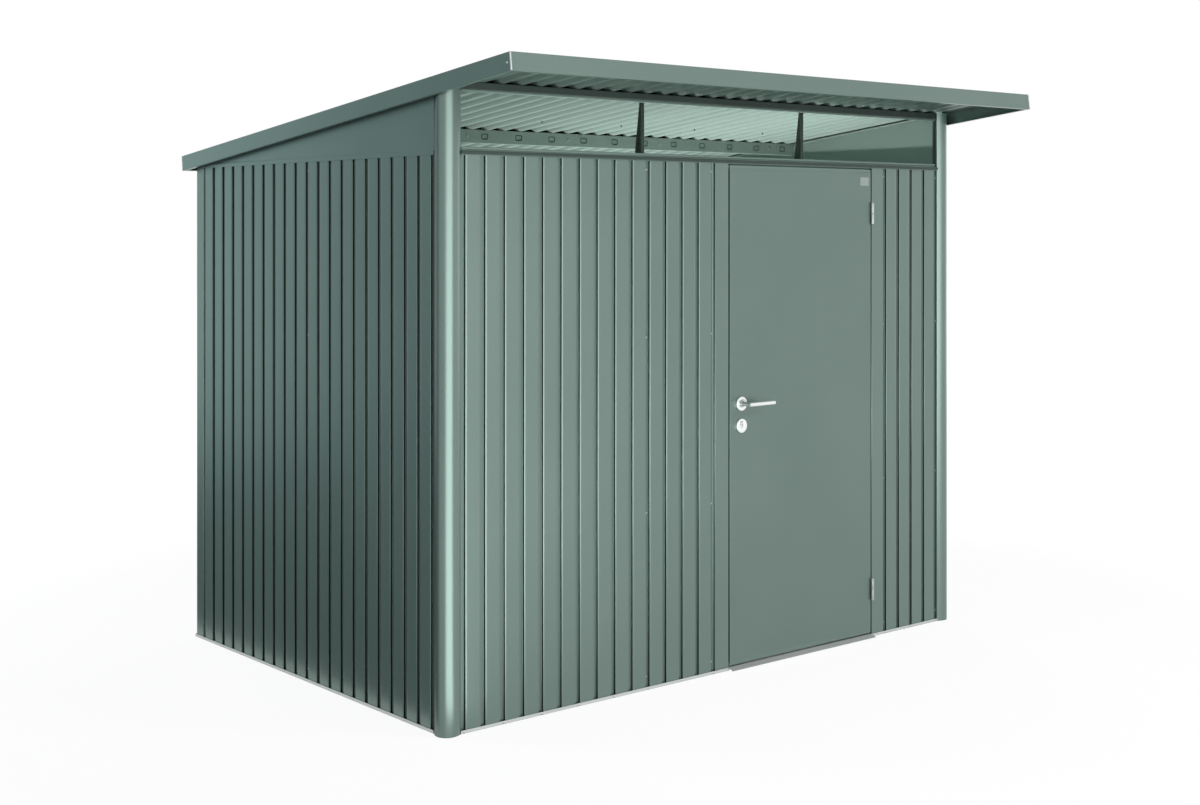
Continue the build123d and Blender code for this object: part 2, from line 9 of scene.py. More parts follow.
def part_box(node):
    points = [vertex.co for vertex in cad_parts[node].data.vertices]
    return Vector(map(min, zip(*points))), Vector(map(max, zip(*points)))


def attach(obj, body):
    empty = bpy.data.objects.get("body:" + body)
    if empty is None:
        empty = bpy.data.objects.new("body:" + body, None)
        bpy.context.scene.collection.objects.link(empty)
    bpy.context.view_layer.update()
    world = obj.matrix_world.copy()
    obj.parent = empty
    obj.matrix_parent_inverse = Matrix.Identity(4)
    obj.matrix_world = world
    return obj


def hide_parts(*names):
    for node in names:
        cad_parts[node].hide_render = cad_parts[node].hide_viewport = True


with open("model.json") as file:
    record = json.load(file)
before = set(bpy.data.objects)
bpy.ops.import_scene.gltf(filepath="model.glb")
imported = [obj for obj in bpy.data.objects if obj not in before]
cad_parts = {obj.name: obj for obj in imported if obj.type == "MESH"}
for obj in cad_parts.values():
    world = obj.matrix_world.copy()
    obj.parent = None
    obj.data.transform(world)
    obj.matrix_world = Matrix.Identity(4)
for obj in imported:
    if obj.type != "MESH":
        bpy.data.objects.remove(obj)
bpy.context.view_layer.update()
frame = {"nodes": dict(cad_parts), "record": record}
scene = bpy.context.scene
scene.view_settings.view_transform = "Standard"
mm = 0.001
near = {"merge": 0.01 * mm, "close": 0.02 * mm, "cut": 1e-7, "flat": math.radians(0.5)}  # tolerances
cosines = {"flat": 0.99, "facing": 0.9, "sideways": 0.4, "down": -0.7}  # between a face and a direction
roofSlope = math.tan(math.radians(6.43))
print("frame loaded:", len(frame["nodes"]), "nodes")

# the photograph's viewpoint: level, at eye height, in front of the left corner
photoView = {
    "place": (-4.344, -5.140, 1.644),
    "turn": -40.01,  # degrees from straight at the front, to the right
    "focal": 1672.74,  # pixels
    "width": 1200,
    "height": 805,
    "horizon": 226.2,  # pixels under the top edge
    "sensor": 36,
}
cameraData = bpy.data.cameras.new("photoView")
cameraData.sensor_width = photoView["sensor"]
cameraData.lens = photoView["focal"] * photoView["sensor"] / photoView["width"]
cameraData.shift_y = (photoView["horizon"] - photoView["height"] / 2) / photoView["width"]
viewCamera = bpy.data.objects.new("photoView", cameraData)
viewCamera.location = photoView["place"]
viewCamera.rotation_euler = (math.radians(90), 0, math.radians(photoView["turn"]))
scene.collection.objects.link(viewCamera)
scene.camera = viewCamera
print("camera placed, lens", round(cameraData.lens, 2))


def fromHex(text):  # sRGB hex to a linear colour
    shares = [int(text[i:i + 2], 16) / 255 for i in (1, 3, 5)]
    return [s / 12.92 if s <= 0.04045 else ((s + 0.055) / 1.055) ** 2.4 for s in shares] + [1]


def addNode(tree, kind, settings=None, sockets=None):  # a socket takes a value or another node's output
    node = tree.nodes.new(kind)
    for key, value in (settings or {}).items():
        setattr(node, key, value)
    for key, value in (sockets or {}).items():
        if isinstance(value, bpy.types.NodeSocket):
            tree.links.new(value, node.inputs[key])
        else:
            node.inputs[key].default_value = value
    return node


def startMaterial(name):
    material = bpy.data.materials.new(name)
    material.use_nodes = True
    material.node_tree.nodes.clear()
    return material, material.node_tree


def perMetre(size):  # texture scale for a pattern of this size in millimetres
    return 1 / (size * mm)


def spread(tree, share, ends):  # a share from 0 to 1, laid between two values
    return addNode(tree, "ShaderNodeMapRange", None,
                   {"Value": share, "To Min": ends[0], "To Max": ends[1]}).outputs["Result"]


bumpStrength = 0.5

# grey-green polyester enamel, stoved on galvanised sheet: satin, faint orange peel and slow cloudiness
enamelLook = {
    "pale": "#80958D",
    "deep": "#788D86",
    "cloud": 420,  # mm
    "cloudDetail": 3,
    "peel": 5,  # mm, coarser than the real 1 mm so that it shows
    "peelDetail": 1,
    "peelDepth": 0.00008,  # m
    "gloss": (0.3, 0.36),  # roughness
    "shine": (0.4, 0.02),  # clean, and where shade is painted in
    "flake": 0.5,  # share of metal flake in the enamel
    "darkening": "#1B2321",  # colour that painted shade darkens folds, gaps, recesses and hollows towards; also a darker tone on the door and the plate
}


def darkenedTint(tree, share, look):  # two shades, darkened where a piece's own paintedShadeAndTone attribute says so: painted shade on most pieces, only a darker tone on the door and the plate
    tint = addNode(tree, "ShaderNodeMix", {"data_type": "RGBA"},
                   {0: share, 6: fromHex(look["deep"]), 7: fromHex(look["pale"])})
    fold = addNode(tree, "ShaderNodeAttribute", {"attribute_name": "paintedShadeAndTone"}).outputs["Fac"]
    darkened = addNode(tree, "ShaderNodeMix", {"data_type": "RGBA"},
                    {0: fold, 6: tint.outputs[2], 7: fromHex(enamelLook["darkening"])})
    return darkened.outputs[2], fold


def enamel(name, look):
    material, tree = startMaterial(name)
    place = addNode(tree, "ShaderNodeTexCoord").outputs["Object"]
    cloud = addNode(tree, "ShaderNodeTexNoise", None,
                    {"Vector": place, "Scale": perMetre(look["cloud"]),
                     "Detail": look["cloudDetail"]})
    tint, fold = darkenedTint(tree, cloud.outputs["Fac"], look)
    peel = addNode(tree, "ShaderNodeTexNoise", None,
                   {"Vector": place, "Scale": perMetre(look["peel"]), "Detail": look["peelDetail"]})
    bump = addNode(tree, "ShaderNodeBump", None,
                   {"Height": peel.outputs["Fac"], "Distance": look["peelDepth"],
                    "Strength": bumpStrength})
    coat = addNode(tree, "ShaderNodeBsdfPrincipled", None,
                   {"Base Color": tint, "Roughness": spread(tree, cloud.outputs["Fac"], look["gloss"]),
                    "Specular IOR Level": spread(tree, fold, look["shine"]), "Metallic": look["flake"],
                    "Normal": bump.outputs["Normal"]})
    addNode(tree, "ShaderNodeOutputMaterial", None, {"Surface": coat.outputs["BSDF"]})
    return material


greyGreenEnamel = enamel("greyGreenEnamel", enamelLook)
slateLook = dict(enamelLook, pale="#46534F", deep="#3C4845")  # darker enamel; on the window frame this darkness is painted shade of the overhang
slateEnamel = enamel("slateEnamel", slateLook)

# bare metals: rolled or brushed, so fine streaks run one way and blur the highlight
metalLooks = {
    "millAluminium": {"pale": "#D9DDDB", "deep": "#C3C9C7", "streak": (900, 6, 6), "rough": (0.38, 0.5),
                      "bare": 0.7},
    "bareAluminium": {"pale": "#DCDDDC", "deep": "#C6C9C9", "streak": (700, 9, 9), "rough": (0.38, 0.46),
                      "bare": 0.6},
    "satinStainless": {"pale": "#F2F5F4", "deep": "#E0E5E4", "streak": (60, 3, 3), "rough": (0.3, 0.4),
                       "bare": 1.0},
    "galvanisedSteel": {"pale": "#B4BDBA", "deep": "#98A3A0", "streak": (14, 11, 14), "rough": (0.4, 0.55),
                        "bare": 0.75},
}
streakLook = {"detail": 4, "depth": 0.00004}  # depth in m


def bareMetal(name, look):
    material, tree = startMaterial(name)
    place = addNode(tree, "ShaderNodeTexCoord").outputs["Object"]
    stretch = addNode(tree, "ShaderNodeMapping", None,
                      {"Vector": place, "Scale": [perMetre(size) for size in look["streak"]]})
    streak = addNode(tree, "ShaderNodeTexNoise", None,
                     {"Vector": stretch.outputs["Vector"], "Scale": 1,
                      "Detail": streakLook["detail"]})
    tint = darkenedTint(tree, streak.outputs["Fac"], look)[0]
    bump = addNode(tree, "ShaderNodeBump", None,
                   {"Height": streak.outputs["Fac"], "Distance": streakLook["depth"],
                    "Strength": bumpStrength})
    metal = addNode(tree, "ShaderNodeBsdfPrincipled", None,
                    {"Base Color": tint, "Roughness": spread(tree, streak.outputs["Fac"], look["rough"]),
                     "Metallic": look["bare"], "Normal": bump.outputs["Normal"]})
    addNode(tree, "ShaderNodeOutputMaterial", None, {"Surface": metal.outputs["BSDF"]})
    return material


metals = {name: bareMetal(name, look) for name, look in metalLooks.items()}

# cast acrylic sheet: clear, a breath of green, a very slight waviness; the index of refraction is low, as
# the panes show next to no mirror image
acrylicLook = {"tint": "#F4FAF7", "wave": 260, "rough": (0.0, 0.02), "detail": 1, "ior": 1.1}
castAcrylic, acrylicTree = startMaterial("castAcrylic")
acrylicPlace = addNode(acrylicTree, "ShaderNodeTexCoord").outputs["Object"]
acrylicWave = addNode(acrylicTree, "ShaderNodeTexNoise", None,
                      {"Vector": acrylicPlace, "Scale": perMetre(acrylicLook["wave"]),
                       "Detail": acrylicLook["detail"]})
acrylicRough = spread(acrylicTree, acrylicWave.outputs["Fac"], acrylicLook["rough"])
acrylicBody = addNode(acrylicTree, "ShaderNodeBsdfPrincipled", None,
                      {"Base Color": fromHex(acrylicLook["tint"]), "Roughness": acrylicRough,
                       "IOR": acrylicLook["ior"], "Transmission Weight": 1.0})
acrylicOpen = addNode(acrylicTree, "ShaderNodeBsdfTransparent", None,
                      {"Color": fromHex(acrylicLook["tint"])})
acrylicPath = addNode(acrylicTree, "ShaderNodeLightPath")
acrylicPass = addNode(acrylicTree, "ShaderNodeMixShader", None,  # lamps shine through the panes
                      {0: acrylicPath.outputs["Is Shadow Ray"], 1: acrylicBody.outputs["BSDF"],
                       2: acrylicOpen.outputs["BSDF"]})
addNode(acrylicTree, "ShaderNodeOutputMaterial", None, {"Surface": acrylicPass.outputs["Shader"]})
print("materials ready")

# which finish each of the record's slots shows
slotFinish = {
    "grey_green_steel": greyGreenEnamel,
    "slate_grey_steel": slateEnamel,
    "base_rail_grey": metals["millAluminium"],
    "bare_aluminium": metals["bareAluminium"],
    "galvanised_steel": metals["galvanisedSteel"],
    "satin_steel": metals["satinStainless"],
    "clear_acrylic": castAcrylic,
}
slotOf = {row["node"]: row["material_slot"] for row in frame["record"]["subparts"]}
bodyOf = {}
for bodyName, members in frame["record"]["behaviour"]["bodies"].items():
    for member in members:
        bodyOf[member] = bodyName

for node, cadObject in frame["nodes"].items():
    cadObject.data.materials.clear()
    cadObject.data.materials.append(slotFinish[slotOf[node]])


def addPiece(name, bm, body, slot, stoodFor=()):
    mesh = bpy.data.meshes.new(name)
    bm.to_mesh(mesh)
    bm.free()
    mesh.materials.append(slotFinish[slot])
    piece = bpy.data.objects.new(name, mesh)
    scene.collection.objects.link(piece)
    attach(piece, body)
    if stoodFor:
        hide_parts(*stoodFor)


def nodeCopy(node):  # a node's mesh, merged, with its flat triangles joined into whole faces
    bm = bmesh.new()
    bm.from_mesh(frame["nodes"][node].data)
    bmesh.ops.remove_doubles(bm, verts=bm.verts, dist=near["merge"])
    bmesh.ops.dissolve_limit(bm, angle_limit=near["flat"], verts=bm.verts, edges=bm.edges)
    return bm


def sheetCopy(node):  # the same, flat-shaded
    bm = nodeCopy(node)
    for face in bm.faces:
        face.smooth = False
    return bm


def turnOf(edge):  # degrees between the two faces of an edge
    return math.degrees(edge.calc_face_angle(0)) if len(edge.link_faces) == 2 else 180


def shadeRound(bm, crisp):  # smooth over the curves, crisp over edges that turn further than this
    for face in bm.faces:
        face.smooth = True
    for edge in bm.edges:
        edge.smooth = turnOf(edge) < crisp


def roundEdges(bm, edges, radius, segments):
    made = bmesh.ops.bevel(bm, geom=edges, offset=radius * mm, offset_type="OFFSET", affect="EDGES",
                           segments=segments, profile=0.5, material=-1, clamp_overlap=True)
    for face in made["faces"]:
        face.smooth = True


# press-brake bends: every long fold of the thin sheets gets the radius that a real one has
bendGroups = [
    {"nodes": ["gable_left", "gable_right", "top_rail_left", "top_rail_right", "roof_beam_front",
               "roof_beam_back", "back_corner_left", "back_corner_right"],
     "radius": 1.4},
    # the darkening on the purlin and the mullions is painted shade; on the sill it is painted shade, darkest
    # on faces that look down; on the door it only makes the leaf slightly darker overall
    {"nodes": ["roof_purlin"], "radius": 1.4, "darkening": 0.22, "underDarkening": 0.22},
    {"nodes": ["window_mullions"], "radius": 1.4, "darkening": 0.4, "underDarkening": 0.4},
    {"nodes": ["window_sill_rail"], "radius": 1.4, "darkening": 0.15, "underDarkening": 0.9},
    {"nodes": ["door_leaf"], "radius": 2.4, "darkening": 0.06, "underDarkening": 0.06},
    {"nodes": ["door_jambs"], "radius": 2.4, "shadedGapDepth": 14, "shadedGapShare": 0.9},  # painted shade in the door gap, on the reveal just behind the front
    {"nodes": ["fascia_front", "fascia_left", "fascia_right", "fascia_back"], "radius": 0.5},
]
bendRule = {"leastRun": 60 * mm, "leastFlange": 2.2 * mm, "leastTurn": 20, "segments": 4}


def isFold(edge):
    if len(edge.link_faces) != 2 or edge.calc_length() < bendRule["leastRun"]:
        return False
    if turnOf(edge) < bendRule["leastTurn"]:
        return False
    return all(face.calc_area() / edge.calc_length() > bendRule["leastFlange"] for face in edge.link_faces)


def allOf(bm):
    return bm.verts[:] + bm.edges[:] + bm.faces[:]


# darkens a whole piece: painted shade on the purlin, the mullions, the sill, the drip bead and the knockout
# lines; a darker tone on the door, the plate and the foam
def darkenAll(bm, share, underShare):  # the second share is for faces that look down
    darkening = bm.faces.layers.float.new("paintedShadeAndTone")
    bm.normal_update()
    for face in bm.faces:
        face[darkening] = underShare if face.normal.z < cosines["down"] else share


# paints shade on the reveal's sides in front of this depth, where the door gap is dark
def paintShadeInDoorGap(bm, depth, share):
    darkening = bm.faces.layers.float.new("paintedShadeAndTone")
    shadedGapEnd = min(vert.co.y for vert in bm.verts) + depth * mm
    bmesh.ops.bisect_plane(bm, geom=allOf(bm), dist=near["cut"], plane_co=(0, shadedGapEnd, 0),
                           plane_no=(0, 1, 0))
    bm.normal_update()
    for face in bm.faces:
        if abs(face.normal.y) < cosines["sideways"] and face.calc_center_median().y < shadedGapEnd:
            face[darkening] = share


for group in bendGroups:
    for node in group["nodes"]:
        bm = sheetCopy(node)
        folds = [edge for edge in bm.edges if isFold(edge)]
        roundEdges(bm, folds, group["radius"], bendRule["segments"])
        if "shadedGapDepth" in group:
            paintShadeInDoorGap(bm, group["shadedGapDepth"], group["shadedGapShare"])
        elif "darkening" in group:
            darkenAll(bm, group["darkening"], group["underDarkening"])
        addPiece(node + "_bent", bm, bodyOf[node], slotOf[node], [node])
print("folds bent on", sum(len(group["nodes"]) for group in bendGroups), "sheets")

# roll-formed wall panels: the flats roll off softly before they drop into the narrow ribs
ribLook = {
    "roll": 3.4,  # mm, width of the rolled strip beside a rib
    "drop": 1.05,  # mm, how far it has fallen at the rib
    "ease": 2.4,  # mm, softening where it leaves the flat
    "easeSegments": 4,
    "leastEase": 120,  # mm
    "lip": 0.8,  # mm, radius at the top of a rib's side
    "foot": 0.8,  # mm, radius at its bottom
    "skin": 2,  # mm, both faces of the sheet lie within this of the wall's face
    "mouth": 24,  # mm, over the width of a rib
    "floorDepth": 5,  # mm
    # painted shade on the ribs' sides and floors
    "ribSideShade": 0.93,
    "ribFloorShade": 0.08,
    "segments": 3,
}
walls = [
    {"nodes": ["front_panel_wide", "front_panel_narrow", "front_panel_right"], "outward": (0, -1, 0)},
    {"nodes": ["left_panel_front", "left_panel_back"], "outward": (-1, 0, 0)},
    {"nodes": ["right_panel_front", "right_panel_back"], "outward": (1, 0, 0)},
    {"nodes": ["back_panel_left", "back_panel_middle", "back_panel_right"], "outward": (0, 1, 0)},
]


def paintShadeInRibs(bm, outward, wallFace):  # paints shade on the sides and the floors of the ribs on the weather side
    darkening = bm.faces.layers.float.new("paintedShadeAndTone")
    bm.normal_update()
    along = Vector((outward.y, outward.x, 0))
    sides = [face for face in bm.faces if abs(face.normal.dot(outward)) < cosines["sideways"]
             and abs(face.normal.z) < cosines["sideways"]]
    places = [face.calc_center_median().dot(along) for face in sides]
    reaches = [vert.co.dot(along) for vert in bm.verts]
    closers = places + [min(reaches), max(reaches)]  # a neighbour closes the ribs at the ends
    for face, place in zip(sides, places):
        way = math.copysign(1, face.normal.dot(along))
        if any(0 < (other - place) * way < ribLook["mouth"] * mm for other in closers):
            face[darkening] = ribLook["ribSideShade"]
    for face in bm.faces:
        depth = wallFace - face.calc_center_median().dot(outward)
        if face.normal.dot(outward) > cosines["facing"] and depth > ribLook["floorDepth"] * mm:
            face[darkening] = ribLook["ribFloorShade"]


for wall in walls:
    outward = Vector(wall["outward"])
    for node in wall["nodes"]:
        bm = sheetCopy(node)
        wallFace = max(vert.co.dot(outward) for vert in bm.verts)
        flats = [face for face in bm.faces if abs(face.normal.dot(outward)) > cosines["flat"]
                 and wallFace - face.calc_center_median().dot(outward) < ribLook["skin"] * mm]
        shoulders = {vert for face in flats for vert in face.verts}
        bmesh.ops.inset_individual(bm, faces=flats, thickness=ribLook["roll"] * mm, use_even_offset=True)
        bmesh.ops.translate(bm, verts=list(shoulders), vec=outward * -ribLook["drop"] * mm)
        bm.normal_update()
        eases = [edge for face in flats for edge in face.edges
                 if edge.calc_length() > ribLook["leastEase"] * mm]
        folds = [edge for edge in bm.edges if isFold(edge) and edge not in eases]
        lips = [edge for edge in folds if any(vert in shoulders for vert in edge.verts)]
        feet = [edge for edge in folds if edge not in lips]
        roundEdges(bm, eases, ribLook["ease"], ribLook["easeSegments"])
        roundEdges(bm, [edge for edge in lips if edge.is_valid], ribLook["lip"], ribLook["segments"])
        roundEdges(bm, [edge for edge in feet if edge.is_valid], ribLook["foot"], ribLook["segments"])
        paintShadeInRibs(bm, outward, wallFace)
        addPiece(node + "_bent", bm, bodyOf[node], slotOf[node], [node])
        print("rolled", node, len(flats), len(eases), len(lips), len(feet))

# turned, drawn and corrugated pieces: smooth over their curves
roundGroups = [
    {"nodes": ["front_post_left", "front_post_right"], "crisp": 40, "rim": 0, "flank": True},
    {"nodes": ["roof_sheet_left", "roof_sheet_middle", "roof_sheet_right"], "crisp": 40, "rim": 0,
     "waves": True},
    {"nodes": ["hinge_frame_halves", "hinge_door_halves"], "crisp": 40, "rim": 1.0},
    {"nodes": ["door_roses"], "crisp": 40, "rim": 1.0},
]
rimRule = {"leastTurn": 60, "longest": 8 * mm, "segments": 3}
waveLook = {"depth": 12, "under": 0.95, "eaves": 0.05, "over": 0.25, "eavesFrom": -0.72}
flankLook = {"darkening": 0.7, "from": 2, "to": -22}  # degrees from straight sideways, to the front


def paintShadeInWaves(bm):  # painted shade in the hollows, under the sheet and on top
    darkening = bm.verts.layers.float.new("paintedShadeAndTone")
    bm.normal_update()
    heights = {vert: vert.co.z + vert.co.y * roofSlope for vert in bm.verts}
    for over in (False, True):
        skin = [vert for vert in bm.verts if (vert.normal.z > 0) == over]
        lowest = min(heights[vert] for vert in skin)
        for vert in skin:
            share = min(1, (heights[vert] - lowest) / (waveLook["depth"] * mm))
            shadeUnder = waveLook["under"] if vert.co.y > waveLook["eavesFrom"] else waveLook["eaves"]
            vert[darkening] = waveLook["over"] * (1 - share) if over else shadeUnder * share


def paintShadeOnFlank(bm):  # painted shade on the side of a post that turns in towards the side wall
    darkening = bm.verts.layers.float.new("paintedShadeAndTone")
    bm.normal_update()
    for vert in bm.verts:
        turn = math.degrees(math.atan2(-vert.normal.y, abs(vert.normal.x)))
        share = (flankLook["from"] - turn) / (flankLook["from"] - flankLook["to"])
        vert[darkening] = flankLook["darkening"] * max(0, min(1, share))


for group in roundGroups:
    for node in group["nodes"]:
        bm = nodeCopy(node)
        if group.get("waves"):
            paintShadeInWaves(bm)
        if group.get("flank"):
            paintShadeOnFlank(bm)
        if group["rim"]:
            rims = [edge for edge in bm.edges if turnOf(edge) > rimRule["leastTurn"]
                    and edge.calc_length() < rimRule["longest"]]
            roundEdges(bm, rims, group["rim"], rimRule["segments"])
        shadeRound(bm, group["crisp"])
        addPiece(node + "_smooth", bm, bodyOf[node], slotOf[node], [node])
print("round pieces smoothed")


def spinOutline(bm, outline, root, axis, side, steps):  # outline: height along the axis and radius, in mm
    axis = Vector(axis)
    side = Vector(side)
    points = [Vector(root) + axis * height * mm + side * radius * mm for height, radius in outline]
    verts = [bm.verts.new(point) for point in points]
    edges = [bm.edges.new(pair) for pair in zip(verts, verts[1:])]
    bmesh.ops.spin(bm, geom=verts + edges, cent=root, axis=axis, dvec=(0, 0, 0), angle=math.tau,
                   steps=steps, use_merge=True, use_duplicate=False)


def closeUp(bm):  # poles and seams closed, faces outwards
    bmesh.ops.remove_doubles(bm, verts=bm.verts, dist=near["close"])
    bmesh.ops.recalc_face_normals(bm, faces=bm.faces)


def addBlock(bm, middle, size):  # in metres
    block = bmesh.ops.create_cube(bm, size=1)["verts"]
    bmesh.ops.scale(bm, verts=block, vec=size)
    bmesh.ops.translate(bm, verts=block, vec=middle)
    return block


# lever handles: a necked bar, mitred into a round grip with a rounded end
leverLook = {  # mm
    "collar": 11, "collarLong": 9, "flare": 15, "flareOver": 2, "flareEnd": 22, "flareEndOver": 0.4,
    "neckFrom": 28, "neck": 7.4, "grip": 8, "standoff": 51, "reach": 128, "mitre": 14, "rootProud": 1.2,
    "tip": 3.2, "tipSteps": 5, "steps": 48, "crisp": 30, "collarShade": 0.55, "neckShade": 0.4,
}
leverJoint = next(row for row in frame["record"]["behaviour"]["joints"] if row["name"] == "lever_turn")
leverX = leverJoint["pos_m"][0]
leverZ = leverJoint["pos_m"][2]
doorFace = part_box("door_leaf")[0][1]
outerRoot = doorFace - leverLook["rootProud"] * mm
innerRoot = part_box("lever_inside")[0][1]
for node, rootY, outward in (("lever_outside", outerRoot, -1), ("lever_inside", innerRoot, 1)):
    look = leverLook
    root = (leverX, rootY, leverZ)
    corner = Vector((leverX, rootY + outward * look["standoff"] * mm, leverZ))
    neckBm = bmesh.new()
    neckOutline = [(0, 0), (0, look["collar"]), (look["collarLong"], look["collar"]),
                   (look["flare"], look["neck"] + look["flareOver"]),
                   (look["flareEnd"], look["neck"] + look["flareEndOver"]), (look["neckFrom"], look["neck"]),
                   (look["standoff"] - look["mitre"], look["grip"]),
                   (look["standoff"] + look["mitre"], look["grip"])]
    spinOutline(neckBm, neckOutline, root, (0, outward, 0), (0, 0, 1), look["steps"])
    bmesh.ops.bisect_plane(neckBm, geom=allOf(neckBm), dist=near["cut"], plane_co=corner,
                           plane_no=(1, outward, 0), clear_outer=True)
    neckMesh = bpy.data.meshes.new(node + "_neck")
    neckBm.to_mesh(neckMesh)
    neckBm.free()
    bm = bmesh.new()
    tipAngles = [math.pi / 2 * step / look["tipSteps"] for step in range(look["tipSteps"] + 1)]
    tip = [(look["reach"] - look["tip"] + look["tip"] * math.sin(angle),
            look["grip"] - look["tip"] + look["tip"] * math.cos(angle)) for angle in tipAngles]
    gripOutline = [(-look["mitre"], look["grip"])] + tip + [(look["reach"], 0)]
    spinOutline(bm, gripOutline, corner, (1, 0, 0), (0, 0, 1), look["steps"])
    bmesh.ops.bisect_plane(bm, geom=allOf(bm), dist=near["cut"], plane_co=corner,
                           plane_no=(1, outward, 0), clear_inner=True)
    bm.from_mesh(neckMesh)
    bpy.data.meshes.remove(neckMesh)
    closeUp(bm)
    shadeRound(bm, look["crisp"])
    # painted reflection and shade: the collar and the neck are darker than the grip
    darkening = bm.verts.layers.float.new("paintedShadeAndTone")
    for vert in bm.verts:
        out = abs(vert.co.y - rootY) / mm
        if out < look["standoff"] - look["grip"]:
            vert[darkening] = look["collarShade"] if out < look["flare"] else look["neckShade"]
    addPiece(node + "_turned", bm, bodyOf[node], slotOf[node], [node])
print("levers turned")

# lock cylinder in the lower rose: a profile plug with a keyway, in front of a recess whose shade is painted
# by a dark backing disc
lockLook = {  # mm
    "roseMiddle": 26, "plugUp": 8.5, "round": 5.6, "slot": 5.0, "drop": 11.6, "dropFrom": 3, "sunk": 0.5,
    "deep": 2.9, "chamfer": 0.4, "rim": 0.5, "segments": 2, "crisp": 40, "behind": 0.05, "steps": 32,
    "keyway": (2.4, 1.0, 8), "keywayUp": 7.5, "keywayDeep": 0.35, "keywayRim": 0.3,
    "backRound": 8.3, "backSlot": 9.4, "backThick": 0.6,
}
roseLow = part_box("door_roses")[0]
lockZ = roseLow[2] + lockLook["roseMiddle"] * mm
plugZ = lockZ + lockLook["plugUp"] * mm
webZ = lockZ - (lockLook["drop"] / 2 - lockLook["dropFrom"]) * mm
lockFace = roseLow[1] + lockLook["sunk"] * mm
bm = bmesh.new()
spinOutline(bm, [(0, 0), (0, lockLook["round"]), (lockLook["deep"] - lockLook["chamfer"], lockLook["round"]),
                 (lockLook["deep"], lockLook["round"] - lockLook["chamfer"]), (lockLook["deep"], 0)],
            (leverX, lockFace + lockLook["deep"] * mm, plugZ), (0, -1, 0), (0, 0, 1), lockLook["steps"])
closeUp(bm)
web = addBlock(bm, (leverX, lockFace + (lockLook["deep"] / 2 + lockLook["behind"]) * mm, webZ),
               (lockLook["slot"] * mm, lockLook["deep"] * mm, lockLook["drop"] * mm))
webEdges = list(dict.fromkeys(edge for vert in web for edge in vert.link_edges))
roundEdges(bm, webEdges, lockLook["rim"], lockLook["segments"])
shadeRound(bm, lockLook["crisp"])
addPiece("lock_cylinder", bm, "door", "satin_steel")
# the keyway and the backing are dark enamel: painted shade of the slot and of the recess
bm = bmesh.new()
addBlock(bm, (leverX, lockFace + lockLook["keywayDeep"] * mm, lockZ + lockLook["keywayUp"] * mm),
         [size * mm for size in lockLook["keyway"]])
roundEdges(bm, bm.edges[:], lockLook["keywayRim"], lockLook["segments"])
backFace = lockFace + (lockLook["deep"] - lockLook["backThick"]) * mm
spinOutline(bm, [(0, 0), (0, lockLook["backRound"]), (lockLook["backThick"], lockLook["backRound"]),
                 (lockLook["backThick"], 0)],
            (leverX, backFace + lockLook["backThick"] * mm, plugZ), (0, -1, 0), (0, 0, 1), lockLook["steps"])
closeUp(bm)
addBlock(bm, (leverX, backFace + (lockLook["backThick"] / 2 + lockLook["behind"]) * mm, webZ),
         (lockLook["backSlot"] * mm, lockLook["backThick"] * mm, lockLook["drop"] * mm))
addPiece("lock_keyway", bm, "door", "slate_grey_steel")


def blockOnDoor(look, middleY, thick):  # look: its left, right, low and high edge in mm
    bm = bmesh.new()
    addBlock(bm, ((look["left"] + look["right"]) / 2 * mm, middleY, (look["low"] + look["high"]) / 2 * mm),
             ((look["right"] - look["left"]) * mm, thick * mm, (look["high"] - look["low"]) * mm))
    return bm


# edge strip on the door's free edge, more than 5 mm from the jamb
stripLook = {"left": 5.2, "right": 13.2, "proud": 1.0, "back": 0.3, "low": 17, "high": 1870, "rim": 0.5,
             "segments": 3}
stripY = doorFace - (stripLook["proud"] - stripLook["back"]) / 2 * mm
bm = blockOnDoor(stripLook, stripY, stripLook["proud"] + stripLook["back"])
stripFront = [edge for edge in bm.edges if all(vert.co.y < stripY for vert in edge.verts)]
roundEdges(bm, stripFront, stripLook["rim"], stripLook["segments"])
addPiece("door_edge_strip", bm, "door", "grey_green_steel")

# bare plate at the top of the door, on the hinge side
plateLook = {"left": 730, "right": 781, "low": 1805, "high": 1839, "thick": 1.2, "corner": 2.5,
             "cornerSegments": 4, "rim": 0.4, "segments": 2, "darkening": 0.15}
bm = blockOnDoor(plateLook, doorFace - plateLook["thick"] / 2 * mm, plateLook["thick"])
plateCorners = [edge for edge in bm.edges if edge.calc_length() < plateLook["corner"] * mm]
roundEdges(bm, plateCorners, plateLook["corner"], plateLook["cornerSegments"])
plateRims = [edge for edge in bm.edges if turnOf(edge) > rimRule["leastTurn"]]
roundEdges(bm, plateRims, plateLook["rim"], plateLook["segments"])
darkenAll(bm, plateLook["darkening"], plateLook["darkening"])
addPiece("door_plate", bm, "door", "galvanised_steel")


def stripAlong(bm, section, start, end):  # section: y and z in metres, run along x
    face = bm.faces.new([bm.verts.new((start, y, z)) for y, z in section])
    swept = bmesh.ops.extrude_face_region(bm, geom=[face])["geom"]
    bmesh.ops.translate(bm, verts=[part for part in swept if isinstance(part, bmesh.types.BMVert)],
                        vec=(end - start, 0, 0))
    bmesh.ops.recalc_face_normals(bm, faces=bm.faces)


def longFront(bm, limit):  # the long edges in front of this y
    return [edge for edge in bm.edges
            if edge.calc_length() > beadLook["leastRun"] and edge.verts[0].co.y < limit]


